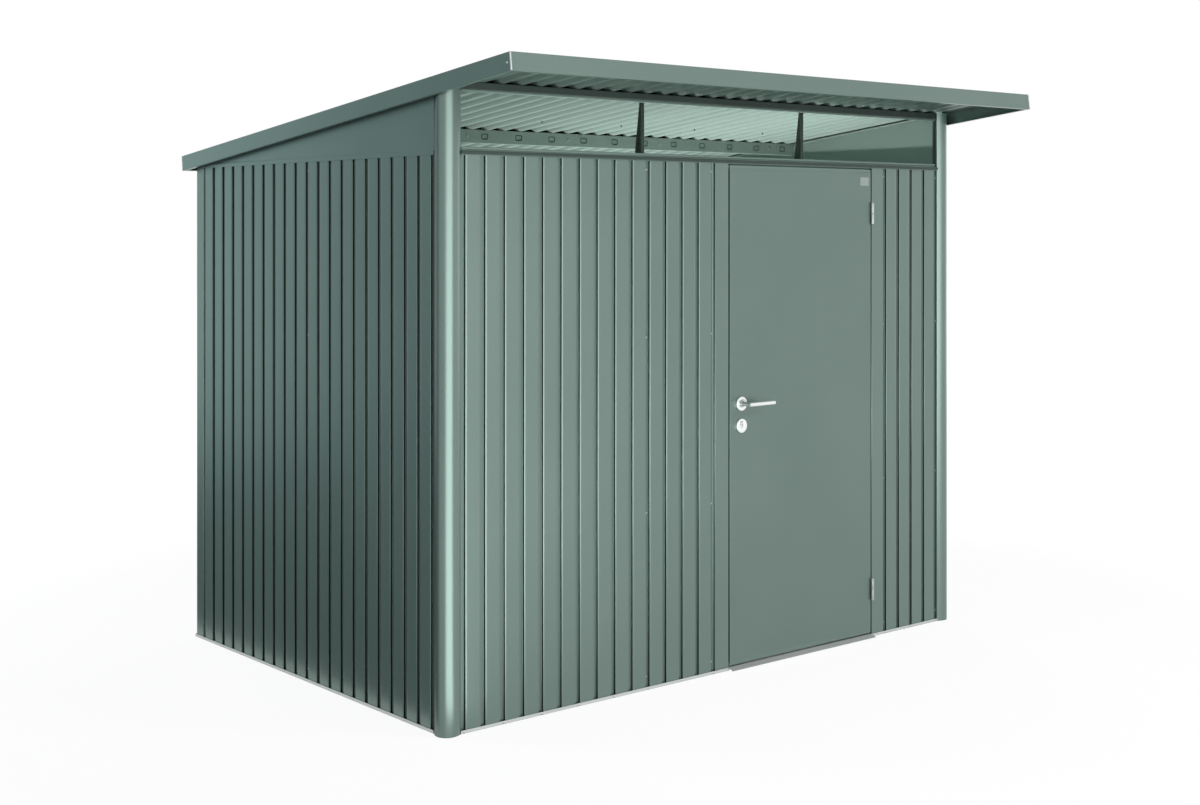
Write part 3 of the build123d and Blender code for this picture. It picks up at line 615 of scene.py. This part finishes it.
# glazing beads over and under the panes, a drip bead on the sill's lip, rubber at the panes' ends
beadLook = {
    "deep": 8, "tall": 8.5, "nose": 3.8, "heel": 2, "inset": 5, "radius": 1.6, "segments": 3,
    "drip": 4.4, "dripTall": 10, "dripUp": 3.5, "rubber": 3, "lap": 0.1, "slack": 0.1,
    "leastRun": 0.5,  # m
    "darkening": 0.68, "underDarkening": 0.9,
}
paneLow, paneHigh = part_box("window_panes")
sillLow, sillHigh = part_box("window_sill_rail")
glassFace = paneLow[1]
heelFace = glassFace - beadLook["heel"] * mm
beadFront = glassFace - beadLook["deep"] * mm
beadStart = paneLow[0] + beadLook["inset"] * mm
beadEnd = paneHigh[0] - beadLook["inset"] * mm
bm = bmesh.new()
sillTop = sillHigh[2]
noseZ = sillTop + beadLook["nose"] * mm
noseTop = noseZ + beadLook["tall"] * mm
stripAlong(bm, [(glassFace, sillTop), (heelFace, sillTop), (heelFace, noseZ), (beadFront, noseZ),
                (beadFront, noseTop), (glassFace, noseTop)], beadStart, beadEnd)
topZ = paneHigh[2]
headLow = topZ - beadLook["tall"] * mm
stripAlong(bm, [(glassFace, topZ), (beadFront, topZ), (beadFront, headLow), (glassFace, headLow)],
           beadStart, beadEnd)
roundEdges(bm, longFront(bm, beadFront + beadLook["slack"] * mm), beadLook["radius"], beadLook["segments"])
addPiece("glazing_beads", bm, "shed", "grey_green_steel")
bm = bmesh.new()
lipFace = sillLow[1]
dripFace = lipFace - beadLook["drip"] * mm
dripLow = sillLow[2] + beadLook["dripUp"] * mm
dripTop = dripLow + beadLook["dripTall"] * mm
stripAlong(bm, [(lipFace, dripLow), (dripFace, dripLow), (dripFace, dripTop), (lipFace, dripTop)],
           sillLow[0], sillHigh[0])
roundEdges(bm, longFront(bm, lipFace - mm), beadLook["radius"], beadLook["segments"])
# painted shade on the drip bead, darkest on its underside
darkenAll(bm, beadLook["darkening"], beadLook["underDarkening"])
addPiece("sill_drip_bead", bm, "shed", "grey_green_steel")
bm = bmesh.new()
rubberFace = glassFace - beadLook["rubber"] * mm
for start in (paneLow[0], beadEnd):
    stripAlong(bm, [(rubberFace, paneLow[2]), (paneHigh[1], paneLow[2]), (paneHigh[1], paneHigh[2]),
                    (rubberFace, paneHigh[2])],
               start - beadLook["lap"] * mm, start + (beadLook["inset"] + beadLook["lap"]) * mm)
addPiece("pane_end_rubbers", bm, "shed", "slate_grey_steel")
print("window trimmed")

# pressed knockouts in the purlin: the sheared line round each is a thin dark frame, painted shade of the gap
knockLook = {"width": 33, "height": 23, "corner": 6, "line": 3.2, "darkening": 0.8, "pitch": 166.5, "count": 15,
             "proud": 0.15, "up": 26}
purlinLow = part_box("roof_purlin")[0]
knockZ = purlinLow[2] + knockLook["up"] * mm
bm = bmesh.new()
for index in range(knockLook["count"]):
    knockX = (index - (knockLook["count"] - 1) / 2) * knockLook["pitch"] * mm
    made = bmesh.ops.create_grid(bm, x_segments=1, y_segments=1, size=0.5)["verts"]
    bmesh.ops.scale(bm, verts=made, vec=(knockLook["width"] * mm, knockLook["height"] * mm, 1))
    bmesh.ops.rotate(bm, verts=made, cent=(0, 0, 0), matrix=Matrix.Rotation(math.pi / 2, 3, "X"))
    bmesh.ops.translate(bm, verts=made, vec=(knockX, purlinLow[1] - knockLook["proud"] * mm, knockZ))
bmesh.ops.bevel(bm, geom=bm.verts[:], offset=knockLook["corner"] * mm, offset_type="OFFSET",
                affect="VERTICES", segments=3, profile=0.5, material=-1)
plugs = bm.faces[:]
bmesh.ops.inset_individual(bm, faces=plugs, thickness=knockLook["line"] * mm, use_even_offset=True)
bmesh.ops.delete(bm, geom=plugs, context="FACES_ONLY")
bmesh.ops.solidify(bm, geom=bm.faces[:], thickness=knockLook["proud"] * 2 * mm)
bmesh.ops.recalc_face_normals(bm, faces=bm.faces)
darkenAll(bm, knockLook["darkening"], knockLook["darkening"])
addPiece("purlin_knockout_lines", bm, "shed", "slate_grey_steel")

# bright beads that close the mitres of the fascia
mitreLook = {"radius": 3.0, "rim": 1.8, "end": 1, "taper": 2, "inset": 1.6, "steps": 16, "crisp": 40,
             "reach": 0.6, "leastTall": 40}
bm = bmesh.new()
for node, sideX in (("fascia_front", -1), ("fascia_front", 1), ("fascia_back", -1), ("fascia_back", 1)):
    probe = nodeCopy(node)
    reach = max(vert.co.x * sideX for vert in probe.verts) - mitreLook["reach"] * mm
    posts = [edge for edge in probe.edges if all(vert.co.x * sideX > reach for vert in edge.verts)
             and edge.calc_length() > mitreLook["leastTall"] * mm]
    mitre = max(posts, key=lambda edge: edge.calc_length())
    low, high = sorted((vert.co.copy() for vert in mitre.verts), key=lambda point: point.z)
    probe.free()
    sideY = -1 if node == "fascia_front" else 1
    shift = Vector((-sideX, -sideY, 0)) * mitreLook["inset"] * mm
    axis = (high - low).normalized()
    long = (high - low).length / mm
    side = axis.cross(Vector((1, 0, 0))).normalized()
    lowHalf = [(mitreLook["end"], 0), (mitreLook["end"], mitreLook["rim"]),
               (mitreLook["taper"], mitreLook["radius"])]
    highHalf = [(long - height, radius) for height, radius in reversed(lowHalf)]
    spinOutline(bm, lowHalf + highHalf, low + shift, axis, side, mitreLook["steps"])
closeUp(bm)
shadeRound(bm, mitreLook["crisp"])
addPiece("fascia_mitre_beads", bm, "shed", "bare_aluminium")

# screws: pan heads in the ribs, at the fascia mitres and on the roof, with washers there
screwLook = {
    "radius": 4.2, "height": 2.6, "steps": 12, "washer": 8.0, "washerTop": 6.4, "washerThick": 1.4,
    "shoulder": (0.6, 0.85), "crown": 0.4,  # shares of the height and of the radius
    "tip": 2.2, "tipLong": 12, "tipFrom": 0.7, "tipSteps": 10, "sunk": 0.1, "crisp": 50,
}


def addScrew(bm, place, outward, washer):
    outward = Vector(outward).normalized()
    side = outward.orthogonal().normalized()
    base = screwLook["washerThick"] if washer else 0
    top = base + screwLook["height"]
    outline = [(0, 0)]
    if washer:
        outline += [(0, screwLook["washer"]), (base, screwLook["washerTop"])]
    outline += [(base, screwLook["radius"]),
                (base + screwLook["height"] * screwLook["shoulder"][0],
                 screwLook["radius"] * screwLook["shoulder"][1]),
                (top, screwLook["radius"] * screwLook["crown"]), (top, 0)]
    spinOutline(bm, outline, place, outward, side, screwLook["steps"])


def addScrews(name, bm):
    closeUp(bm)
    shadeRound(bm, screwLook["crisp"])
    addPiece(name, bm, "shed", "galvanised_steel")


def ribFloor(node, outward):  # depth of the rib floors' outer face
    bm = nodeCopy(node)
    outward = Vector(outward)
    floors = [face.calc_center_median().dot(outward) for face in bm.faces
              if face.normal.dot(outward) > cosines["flat"]]
    bm.free()
    return min(floors)


screwHeights = (45, 626, 1250, 1845)  # mm over the ground
sunk = screwLook["sunk"] * mm
bm = bmesh.new()
count = 0
for wall in walls:
    outward = Vector(wall["outward"])
    along = Vector((0, 0, 1)).cross(outward)
    along = Vector((abs(along.x), abs(along.y), 0))
    floor = ribFloor(wall["nodes"][0], outward)
    joints = set()
    for node in wall["nodes"]:
        low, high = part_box(node)
        joints |= {round(Vector(low).dot(along), 2), round(Vector(high).dot(along), 2)}
    for joint in joints:
        for height in screwHeights:
            place = along * joint + outward * (floor - sunk) + Vector((0, 0, height * mm))
            addScrew(bm, place, outward, False)
            count += 1
addScrews("wall_screws", bm)
print("wall screws", count)

# foam that fills the roof's waves over the front beam and the purlin
roofBm = bmesh.new()
for node in ("roof_sheet_left", "roof_sheet_middle", "roof_sheet_right"):
    roofBm.from_mesh(frame["nodes"][node].data)
roofTree = BVHTree.FromBMesh(roofBm)
roofBm.free()
rayFrom = {"below": 1.0, "above": 3.0}  # m, where rays to the roof start
foamLook = {"thick": 6, "step": 4, "clear": 0.3, "sunk": 1.5, "end": 20, "darkening": 0.95}
skyward = Vector((0, 0, 1))
bm = bmesh.new()
for node in ("roof_beam_front", "roof_purlin"):
    beamLow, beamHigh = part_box(node)
    foamY = (beamLow[1] + beamHigh[1]) / 2
    foamLow = beamHigh[2] - foamLook["sunk"] * mm
    steps = int((beamHigh[0] - beamLow[0] - 2 * foamLook["end"] * mm) / (foamLook["step"] * mm))
    rows = []
    for index in range(steps + 1):
        x = beamLow[0] + foamLook["end"] * mm + index * foamLook["step"] * mm
        crest = roofTree.ray_cast(Vector((x, foamY, rayFrom["below"])), skyward)[0]
        top = crest.z - foamLook["clear"] * mm
        rows.append((bm.verts.new((x, foamY, foamLow)), bm.verts.new((x, foamY, top))))
    for (lowA, highA), (lowB, highB) in zip(rows, rows[1:]):
        bm.faces.new((lowA, lowB, highB, highA))
bmesh.ops.solidify(bm, geom=bm.faces[:], thickness=foamLook["thick"] * mm)
bmesh.ops.recalc_face_normals(bm, faces=bm.faces)
darkenAll(bm, foamLook["darkening"], foamLook["darkening"])
addPiece("roof_foam_fillers", bm, "shed", "slate_grey_steel")

# roof screws with washers in the troughs, their tips under the front bay
roofScrews = {"across": (-0.8, -0.4, 0, 0.4, 0.8), "rows": (-0.69, -0.095, 0.16, 1.02), "tipRow": -0.095}
bm = bmesh.new()
tipBm = bmesh.new()
for across in roofScrews["across"]:
    for row in roofScrews["rows"]:
        top, rise = roofTree.ray_cast(Vector((across, row, rayFrom["above"])), -skyward)[:2]
        addScrew(bm, top - rise * sunk, rise, True)
    low, fall = roofTree.ray_cast(Vector((across, roofScrews["tipRow"], rayFrom["below"])), skyward)[:2]
    tipOutline = [(0, 0), (0, screwLook["tip"]),
                  (screwLook["tipLong"] * screwLook["tipFrom"], screwLook["tip"]), (screwLook["tipLong"], 0)]
    spinOutline(tipBm, tipOutline, low - fall * mm, fall, fall.orthogonal().normalized(),
                screwLook["tipSteps"])
addScrews("roof_screws", bm)
closeUp(tipBm)
shadeRound(tipBm, screwLook["crisp"])
addPiece("roof_screw_tips", tipBm, "shed", "slate_grey_steel")

# small pan heads: beside the fascia's mitres and along the purlin
fasciaLook = {"inset": 21.6, "drop": 30.5, "purlinSteps": (-6.5, -3.5, -0.5, 2.5, 6.5)}
fasciaLow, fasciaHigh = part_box("fascia_left")
bm = bmesh.new()
for sideX in (-1, 1):
    for y in (fasciaLow[1] + fasciaLook["inset"] * mm, fasciaHigh[1] - fasciaLook["inset"] * mm):
        z = fasciaHigh[2] - fasciaLook["drop"] * mm - (y - fasciaLow[1]) * roofSlope
        addScrew(bm, Vector((sideX * (abs(fasciaLow[0]) - sunk), y, z)), (sideX, 0, 0), False)
for step in fasciaLook["purlinSteps"]:
    addScrew(bm, Vector((step * knockLook["pitch"] * mm, purlinLow[1] + sunk, knockZ)), (0, -1, 0), False)
addScrews("trim_screws", bm)
print("roof and trim screwed down")


def seenDirectly(tree):  # 1 for what the eye, a mirror or a pane shows, 0 for light that has bounced
    path = addNode(tree, "ShaderNodeLightPath")
    mirrored = addNode(tree, "ShaderNodeMath", {"operation": "MAXIMUM"},
                       {0: path.outputs["Is Camera Ray"], 1: path.outputs["Is Glossy Ray"]})
    shown = addNode(tree, "ShaderNodeMath", {"operation": "MAXIMUM"},
                    {0: mirrored.outputs[0], 1: path.outputs["Is Transmission Ray"]})
    unbounced = addNode(tree, "ShaderNodeMath", {"operation": "LESS_THAN"},
                        {0: path.outputs["Diffuse Depth"], 1: 0.5})
    direct = addNode(tree, "ShaderNodeMath", {"operation": "MULTIPLY"},
                     {0: shown.outputs[0], 1: unbounced.outputs[0]})
    return direct.outputs[0]


# studio: a floor and a world that show white but bounce less light, a high soft key in front, small fills
floorLook = {
    "size": 30, "drop": 0.5 * mm, "albedo": "#E6E6E6", "catch": "#808080",
    "glow": 0.9, "farGlow": 1.0, "near": 2.5, "far": 5.0,
    "shedHalfWidth": 1.262, "shedHalfDepth": 0.862, "shedMiddle": 0.1666,
}
floorMaterial, floorTree = startMaterial("paleFloor")
floorToEye = seenDirectly(floorTree)
floorPlace = addNode(floorTree, "ShaderNodeTexCoord").outputs["Object"]
floorReach = addNode(floorTree, "ShaderNodeVectorMath", {"operation": "LENGTH"}, {0: floorPlace})
floorGlow = addNode(floorTree, "ShaderNodeMapRange", None,
                    {"Value": floorReach.outputs["Value"], "From Min": floorLook["near"],
                     "From Max": floorLook["far"], "To Min": floorLook["glow"],
                     "To Max": floorLook["farGlow"]})
floorShine = addNode(floorTree, "ShaderNodeEmission", None, {"Strength": floorGlow.outputs["Result"]})
floorCatch = addNode(floorTree, "ShaderNodeBsdfDiffuse", None, {"Color": fromHex(floorLook["catch"])})
floorSeen = addNode(floorTree, "ShaderNodeAddShader", None,
                    {0: floorShine.outputs[0], 1: floorCatch.outputs[0]})
floorPlain = addNode(floorTree, "ShaderNodeBsdfDiffuse", None, {"Color": fromHex(floorLook["albedo"])})
floorSides = addNode(floorTree, "ShaderNodeSeparateXYZ", None, {"Vector": floorPlace})
floorAcross = addNode(floorTree, "ShaderNodeMath", {"operation": "COMPARE"},
                      {0: floorSides.outputs["X"], 1: 0.0, 2: floorLook["shedHalfWidth"]})
floorDeep = addNode(floorTree, "ShaderNodeMath", {"operation": "COMPARE"},
                    {0: floorSides.outputs["Y"], 1: floorLook["shedMiddle"], 2: floorLook["shedHalfDepth"]})
floorUnder = addNode(floorTree, "ShaderNodeMath", {"operation": "MULTIPLY"},
                     {0: floorAcross.outputs[0], 1: floorDeep.outputs[0]})
floorOpen = addNode(floorTree, "ShaderNodeMath", {"operation": "SUBTRACT", "use_clamp": True},
                    {0: floorToEye, 1: floorUnder.outputs[0]})  # no glow under the shed
floorMix = addNode(floorTree, "ShaderNodeMixShader", None,
                   {0: floorOpen.outputs[0], 1: floorPlain.outputs[0], 2: floorSeen.outputs[0]})
addNode(floorTree, "ShaderNodeOutputMaterial", None, {"Surface": floorMix.outputs[0]})
floorMesh = bmesh.new()
bmesh.ops.create_grid(floorMesh, x_segments=1, y_segments=1, size=floorLook["size"])
bmesh.ops.translate(floorMesh, verts=floorMesh.verts, vec=(0, 0, -floorLook["drop"]))
floorData = bpy.data.meshes.new("paleFloor")
floorMesh.to_mesh(floorData)
floorMesh.free()
floorData.materials.append(floorMaterial)
paleFloor = bpy.data.objects.new("paleFloor", floorData)
scene.collection.objects.link(paleFloor)

worldLook = {"tint": "#FFFFFF", "fill": 0.2, "seen": 1.0}
studioWorld = bpy.data.worlds.new("studioWorld")
studioWorld.use_nodes = True
worldTree = studioWorld.node_tree
worldTree.nodes.clear()
worldToEye = seenDirectly(worldTree)
worldFill = addNode(worldTree, "ShaderNodeBackground", None,
                    {"Color": fromHex(worldLook["tint"]), "Strength": worldLook["fill"]})
worldWhite = addNode(worldTree, "ShaderNodeBackground", None,
                     {"Color": fromHex(worldLook["tint"]), "Strength": worldLook["seen"]})
worldMix = addNode(worldTree, "ShaderNodeMixShader", None,
                   {0: worldToEye, 1: worldFill.outputs[0], 2: worldWhite.outputs[0]})
addNode(worldTree, "ShaderNodeOutputWorld", None, {"Surface": worldMix.outputs[0]})
scene.world = studioWorld

lamps = {
    "keyHigh": {"place": (2.6, -5.4, 4.3), "aim": (0.1, -0.7, 1.2), "size": (2.2, 1.2), "watts": 94,
                "tint": "#FFFFFF"},
    "keyLow": {"place": (-0.9, -4.4, 0.8), "aim": (-0.6, -0.7, 0.35), "size": (1.0, 0.6), "watts": 12,
               "tint": "#FFFFFF"},
    "rimBackLeft": {"place": (-4.2, 3.6, 3.4), "aim": (-1.27, 0.8, 1.4), "size": (2, 2), "watts": 55,
                    "tint": "#F4FDFF"},
    "fillBackRight": {"place": (3.8, 4.2, 3.2), "aim": (0.6, 0.6, 1.2), "size": (2.5, 2.5), "watts": 40,
                      "tint": "#FFFFFF"},
    # both glow inside, under the window
    "glowRight": {"place": (0.85, -0.2, 0.3), "aim": (-0.9, -0.3, 2.0), "size": (0.5, 0.12), "watts": 105,
                  "tint": "#FFF0F4"},
    "glowMiddle": {"place": (0.2, -0.2, 0.3), "aim": (1.2, -0.1, 1.95), "size": (0.5, 0.12), "watts": 80,
                   "tint": "#FFF0F4"},
}
for name, lamp in lamps.items():
    lampData = bpy.data.lights.new(name, "AREA")
    lampData.shape = "RECTANGLE"
    lampData.size, lampData.size_y = lamp["size"]
    lampData.energy = lamp["watts"]
    lampData.color = fromHex(lamp["tint"])[:3]
    lampObject = bpy.data.objects.new(name, lampData)
    lampObject.location = lamp["place"]
    facing = Vector(lamp["aim"]) - Vector(lamp["place"])
    lampObject.rotation_euler = facing.to_track_quat("-Z", "Y").to_euler()
    lampObject.visible_camera = False
    lampObject.visible_glossy = False
    scene.collection.objects.link(lampObject)
print("studio lit by", len(lamps), "lamps")


def stageCard(name, corners, lift, fold, rise, material):  # lies on the floor, folded up along one edge
    cardMesh = bmesh.new()
    lying = cardMesh.faces.new([cardMesh.verts.new((x, y, lift * mm)) for x, y in corners])
    lifted = bmesh.ops.extrude_edge_only(cardMesh, edges=[lying.edges[fold]])["geom"]
    bmesh.ops.translate(cardMesh, verts=[part for part in lifted if isinstance(part, bmesh.types.BMVert)],
                        vec=(0, 0, rise))
    cardData = bpy.data.meshes.new(name)
    cardMesh.to_mesh(cardData)
    cardMesh.free()
    cardData.materials.append(material)
    card = bpy.data.objects.new(name, cardData)
    card.visible_camera = False
    card.visible_diffuse = False
    card.visible_shadow = False
    card.visible_transmission = False
    scene.collection.objects.link(card)


# dark card beside the left wall, out of sight, that its gloss mirrors
darkLook = {
    "tint": "#DAF4FA", "reach": -4.4, "front": 0.9, "back": 9.5, "top": 8, "wall": -1.36,
    "lift": 1,  # mm
    "post": (-1.25, -0.67), "frontFade": (0.5, 1.1), "edgeTone": 0.95, "tone": 0.29,
    "backFade": (3.9, 7.4), "backTone": 1.42, "lyingTone": 0.7, "lyingTop": 0.3,
}
darkCard, darkTree = startMaterial("darkCard")
darkPlace = addNode(darkTree, "ShaderNodeTexCoord").outputs["Object"]
darkSides = addNode(darkTree, "ShaderNodeSeparateXYZ", None, {"Vector": darkPlace})
darkBehind = addNode(darkTree, "ShaderNodeMath", {"operation": "SUBTRACT"},
                     {0: darkSides.outputs["Y"], 1: darkLook["post"][1]})
darkBeside = addNode(darkTree, "ShaderNodeMath", {"operation": "SUBTRACT"},
                     {0: darkLook["post"][0], 1: darkSides.outputs["X"]})
darkSlant = addNode(darkTree, "ShaderNodeMath", {"operation": "DIVIDE"},
                    {0: darkBehind.outputs[0], 1: darkBeside.outputs[0]})
darkFront = addNode(darkTree, "ShaderNodeMapRange", {"interpolation_type": "SMOOTHSTEP"},
                    {"Value": darkSlant.outputs[0], "From Min": darkLook["frontFade"][0],
                     "From Max": darkLook["frontFade"][1], "To Min": darkLook["edgeTone"] - darkLook["tone"],
                     "To Max": 0})
darkBack = addNode(darkTree, "ShaderNodeMapRange", {"interpolation_type": "SMOOTHSTEP"},
                   {"Value": darkSides.outputs["Y"], "From Min": darkLook["backFade"][0],
                    "From Max": darkLook["backFade"][1], "To Min": darkLook["tone"],
                    "To Max": darkLook["backTone"]})
darkAlong = addNode(darkTree, "ShaderNodeMath", {"operation": "ADD"},
                    {0: darkFront.outputs["Result"], 1: darkBack.outputs["Result"]})
darkLying = addNode(darkTree, "ShaderNodeMapRange", None,
                    {"Value": darkSides.outputs["Z"], "From Min": 0, "From Max": darkLook["lyingTop"],
                     "To Min": darkLook["lyingTone"], "To Max": 1})
darkTone = addNode(darkTree, "ShaderNodeMath", {"operation": "MULTIPLY"},
                   {0: darkAlong.outputs[0], 1: darkLying.outputs["Result"]})
darkShine = addNode(darkTree, "ShaderNodeEmission", None,
                    {"Color": fromHex(darkLook["tint"]), "Strength": darkTone.outputs[0]})
addNode(darkTree, "ShaderNodeOutputMaterial", None, {"Surface": darkShine.outputs[0]})
darkCorners = [(darkLook["wall"], darkLook["post"][1]), (darkLook["reach"], darkLook["front"]),
               (darkLook["reach"], darkLook["back"]), (darkLook["wall"], darkLook["back"])]
stageCard("darkCard", darkCorners, darkLook["lift"], 1, darkLook["top"], darkCard)

# bright card far in front, mirrored by the rounded posts and at a slant by the left of the front wall
brightLook = {
    "strength": 4.4, "dim": 1.5, "dimFade": (-12.5, -9), "far": -12, "near": -0.95,
    "left": -12.5, "right": 3.7, "nearLeft": -1.5, "nearRight": -1.06, "top": 3.3,
    "lift": 2,  # mm
}
brightCard, brightTree = startMaterial("brightCard")
brightPlace = addNode(brightTree, "ShaderNodeTexCoord").outputs["Object"]
brightSides = addNode(brightTree, "ShaderNodeSeparateXYZ", None, {"Vector": brightPlace})
brightFade = addNode(brightTree, "ShaderNodeMapRange", {"interpolation_type": "SMOOTHSTEP"},
                     {"Value": brightSides.outputs["X"], "From Min": brightLook["dimFade"][0],
                      "From Max": brightLook["dimFade"][1], "To Min": brightLook["dim"],
                      "To Max": brightLook["strength"]})
brightShine = addNode(brightTree, "ShaderNodeEmission", None, {"Strength": brightFade.outputs["Result"]})
addNode(brightTree, "ShaderNodeOutputMaterial", None, {"Surface": brightShine.outputs[0]})
brightCorners = [(brightLook["nearRight"], brightLook["near"]), (brightLook["nearLeft"], brightLook["near"]),
                 (brightLook["left"], brightLook["far"]), (brightLook["right"], brightLook["far"])]
stageCard("brightCard", brightCorners, brightLook["lift"], 2, brightLook["top"], brightCard)

# dim card far to the right, that the right flank of the round posts mirrors
wingLook = {
    "strength": 2.2, "near": 11.5, "far": 12, "front": -5, "back": 4, "top": 4,
    "lift": 2,  # mm
}
wingCard, wingTree = startMaterial("wingCard")
wingShine = addNode(wingTree, "ShaderNodeEmission", None, {"Strength": wingLook["strength"]})
addNode(wingTree, "ShaderNodeOutputMaterial", None, {"Surface": wingShine.outputs[0]})
wingCorners = [(wingLook["near"], wingLook["front"]), (wingLook["far"], wingLook["front"]),
               (wingLook["far"], wingLook["back"]), (wingLook["near"], wingLook["back"])]
stageCard("wingCard", wingCorners, wingLook["lift"], 1, wingLook["top"], wingCard)
print("cards stand beside and in front")
